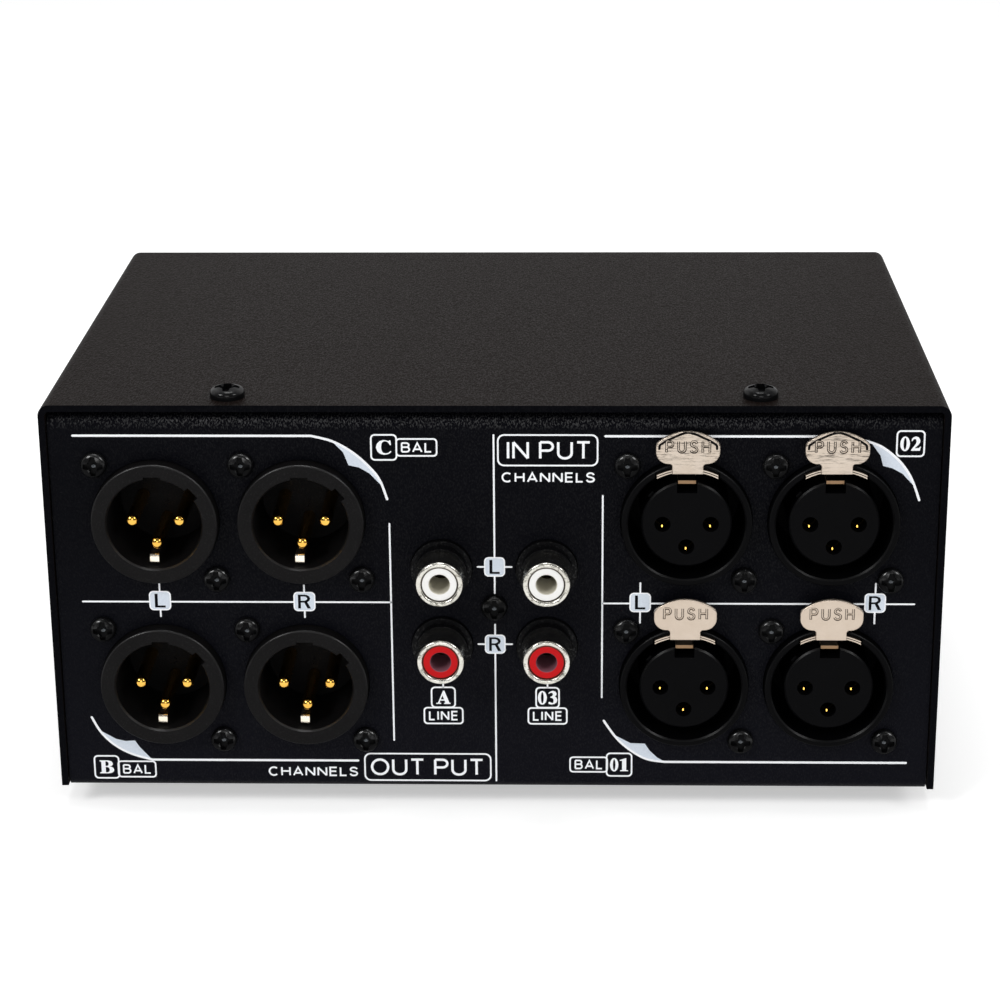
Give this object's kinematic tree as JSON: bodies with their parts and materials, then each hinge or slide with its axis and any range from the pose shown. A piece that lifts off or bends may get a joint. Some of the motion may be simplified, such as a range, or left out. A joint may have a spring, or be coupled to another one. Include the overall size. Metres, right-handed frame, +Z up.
{
  "type": "passive preamplifier",
  "caption": "Small steel box that selects and attenuates audio signals: balanced and phono sockets on the rear, volume and selector knobs on the front, rubber feet.",
  "frame": {"origin": "on the plane of the feet's undersides, in the middle of the whole object's width and depth", "axes": "+X to the right seen from the front, +Y towards the rear panel with the sockets, +Z up"},
  "size_m": [0.158, 0.1266, 0.0793],
  "materials": {
    "chassis_coat": "black powder coat with a fine grain",
    "cover_coat": "black powder coat with a fine grain",
    "front_plate": "brushed, black anodised",
    "black_screw": "glossy black zinc",
    "foot_rubber": "matte black rubber",
    "socket_plastic": "fine matte black",
    "gold": "polished gold plate",
    "latch_nickel": "satin nickel with fine scratches",
    "block_plastic": "textured black",
    "sleeve_nickel": "polished nickel",
    "white_insulator": "glossy ivory",
    "red_insulator": "glossy red",
    "control_case": "plain stamped metal",
    "control_steel": "nickel plated",
    "set_screw_steel": "black oxide",
    "knob_black": "turned, black anodised",
    "board_green": "green solder mask",
    "header_plastic": "moulded black",
    "ribbon_grey": "soft grey vinyl"
  },
  "bodies": {
    "root": {"chassis": "chassis_coat", "top_cover": "cover_coat", "front_panel": "front_plate", "cover_top_screws": "black_screw", "cover_side_screws": "black_screw", "front_panel_screws": "black_screw", "foot_screws": "black_screw", "connector_screws": "black_screw", "phono_screw": "black_screw", "foot_front_left": "foot_rubber", "foot_front_right": "foot_rubber", "foot_rear_left": "foot_rubber", "foot_rear_right": "foot_rubber", "output_c_left_shell": "socket_plastic", "output_c_left_pins": "gold", "output_c_right_shell": "socket_plastic", "output_c_right_pins": "gold", "output_b_left_shell": "socket_plastic", "output_b_left_pins": "gold", "output_b_right_shell": "socket_plastic", "output_b_right_pins": "gold", "output_ground_tongues": "gold", "input_2_left_housing": "socket_plastic", "input_2_left_insert": "socket_plastic", "input_2_right_housing": "socket_plastic", "input_2_right_insert": "socket_plastic", "input_1_left_housing": "socket_plastic", "input_1_left_insert": "socket_plastic", "input_1_right_housing": "socket_plastic", "input_1_right_insert": "socket_plastic", "input_contacts": "gold", "phono_contacts": "gold", "phono_block": "block_plastic", "output_a_left_sleeve": "sleeve_nickel", "output_a_right_sleeve": "sleeve_nickel", "input_3_left_sleeve": "sleeve_nickel", "input_3_right_sleeve": "sleeve_nickel", "phono_insulators_white": "white_insulator", "phono_insulators_red": "red_insulator", "volume_pot": "control_case", "input_switch": "control_case", "output_switch": "control_case", "control_nuts": "control_steel", "rear_board": "board_green", "front_board": "board_green", "ribbon_headers": "header_plastic", "ribbon_cable": "ribbon_grey"},
    "input_2_left_latch_body": {"input_2_left_latch": "latch_nickel"},
    "input_2_right_latch_body": {"input_2_right_latch": "latch_nickel"},
    "input_1_left_latch_body": {"input_1_left_latch": "latch_nickel"},
    "input_1_right_latch_body": {"input_1_right_latch": "latch_nickel"},
    "volume_control": {"volume_knob": "knob_black", "volume_shaft": "control_steel", "volume_set_screw": "set_screw_steel"},
    "input_selector": {"input_knob": "knob_black", "input_shaft": "control_steel", "input_set_screw": "set_screw_steel"},
    "output_selector": {"output_knob": "knob_black", "output_shaft": "control_steel", "output_set_screw": "set_screw_steel"}
  },
  "joints": [
    {"name": "input_2_left_latch_press", "type": "hinge", "parent": "root", "child": "input_2_left_latch_body", "pos_m": [-0.0337, 0.03835, 0.0652], "axis": [-1, 0, 0], "range_deg": [0, 4], "stiffness_Nm_per_rad": 0.3, "springref_deg": -1.15},
    {"name": "input_2_right_latch_press", "type": "hinge", "parent": "root", "child": "input_2_right_latch_body", "pos_m": [-0.0594, 0.03835, 0.0652], "axis": [-1, 0, 0], "range_deg": [0, 4], "stiffness_Nm_per_rad": 0.3, "springref_deg": -1.15},
    {"name": "input_1_left_latch_press", "type": "hinge", "parent": "root", "child": "input_1_left_latch_body", "pos_m": [-0.0337, 0.03835, 0.0341], "axis": [-1, 0, 0], "range_deg": [0, 4], "stiffness_Nm_per_rad": 0.3, "springref_deg": -1.15},
    {"name": "input_1_right_latch_press", "type": "hinge", "parent": "root", "child": "input_1_right_latch_body", "pos_m": [-0.0594, 0.03835, 0.0341], "axis": [-1, 0, 0], "range_deg": [0, 4], "stiffness_Nm_per_rad": 0.3, "springref_deg": -1.15},
    {"name": "volume_turn", "type": "hinge", "parent": "root", "child": "volume_control", "pos_m": [0, -0.05355, 0.0407], "axis": [0, -1, 0], "range_deg": [-150, 150]},
    {"name": "input_select", "type": "hinge", "parent": "root", "child": "input_selector", "pos_m": [-0.05, -0.05355, 0.0407], "axis": [0, -1, 0], "range_deg": [-30, 30]},
    {"name": "output_select", "type": "hinge", "parent": "root", "child": "output_selector", "pos_m": [0.05, -0.05355, 0.0407], "axis": [0, -1, 0], "range_deg": [-30, 30]}
  ]
}
